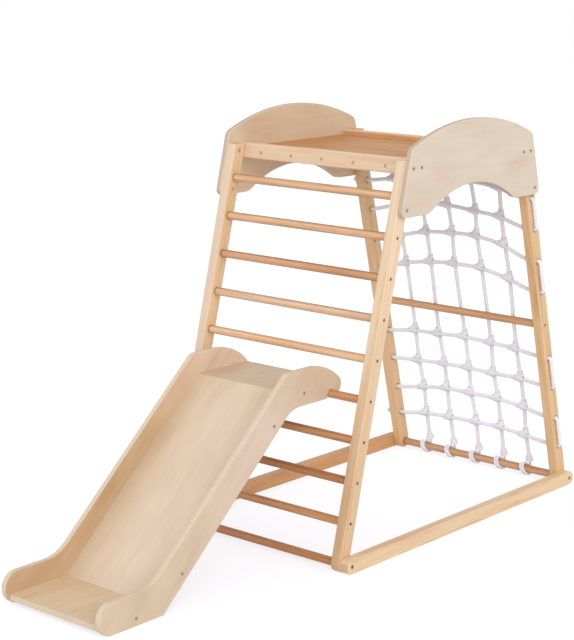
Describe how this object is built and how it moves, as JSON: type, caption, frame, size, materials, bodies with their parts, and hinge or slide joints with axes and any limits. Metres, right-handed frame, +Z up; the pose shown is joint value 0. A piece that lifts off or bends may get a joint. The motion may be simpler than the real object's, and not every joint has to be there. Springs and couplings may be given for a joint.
{
  "type": "toddler climbing frame",
  "caption": "Wooden toddler climbing frame: a rung ladder and a rope-net ladder lean together under arched side panels and a seat board, with a slide hooked over a rung.",
  "frame": {"origin": "on the floor, in the middle of the whole footprint from the slide's toe to the back ends of the base rails", "axes": "+X to the user's right when facing the front ladder, +Y from the slide's toe to the net, +Z up"},
  "size_m": [0.782, 2.0831, 1.3174],
  "materials": {
    "pine": "clear satin lacquer on solid pine",
    "dowel_wood": "satin lacquer on hardwood dowel",
    "birch_ply": "satin lacquer on birch plywood",
    "seat_wood": "satin lacquer on solid wood board",
    "rope": "braided white synthetic rope",
    "net_plastic": "white moulded plastic",
    "steel": "dull zinc plating"
  },
  "bodies": {
    "frame": {"front_right_stile": "pine", "front_left_stile": "pine", "back_right_stile": "pine", "back_left_stile": "pine", "right_base_rail": "pine", "left_base_rail": "pine", "back_top_rail": "pine", "front_top_rail": "pine", "rung_01": "dowel_wood", "rung_02": "dowel_wood", "rung_03": "dowel_wood", "rung_04": "dowel_wood", "rung_05": "dowel_wood", "rung_06": "dowel_wood", "rung_07": "dowel_wood", "rung_08": "dowel_wood", "rung_09": "dowel_wood", "rung_10": "dowel_wood", "back_top_bar": "dowel_wood", "back_mid_bar": "dowel_wood", "back_bottom_bar": "dowel_wood", "seat_board": "seat_wood", "right_side_panel": "birch_ply", "left_side_panel": "birch_ply", "net_vertical_rope_1": "rope", "net_vertical_rope_2": "rope", "net_vertical_rope_3": "rope", "net_vertical_rope_4": "rope", "net_vertical_rope_5": "rope", "net_lacing_rope": "rope", "net_cross_connectors": "net_plastic", "net_bar_clamps": "net_plastic", "rung_screws": "steel", "foot_bolts": "steel", "panel_bolts": "steel", "stile_sleeve_nuts": "steel", "rail_barrel_nuts": "steel", "seat_screws": "steel"},
    "slide": {"slide_right_panel": "birch_ply", "slide_left_panel": "birch_ply", "slide_deck_board": "birch_ply", "slide_incline_board": "birch_ply", "slide_exit_board": "birch_ply", "slide_bolts": "steel", "slide_barrel_nuts": "steel"}
  },
  "joints": [
    {"name": "slide_lift", "type": "hinge", "parent": "frame", "child": "slide", "pos_m": [0, -0.06811, 0.503], "axis": [-1, 0, 0], "range_deg": [0, 40]}
  ]
}
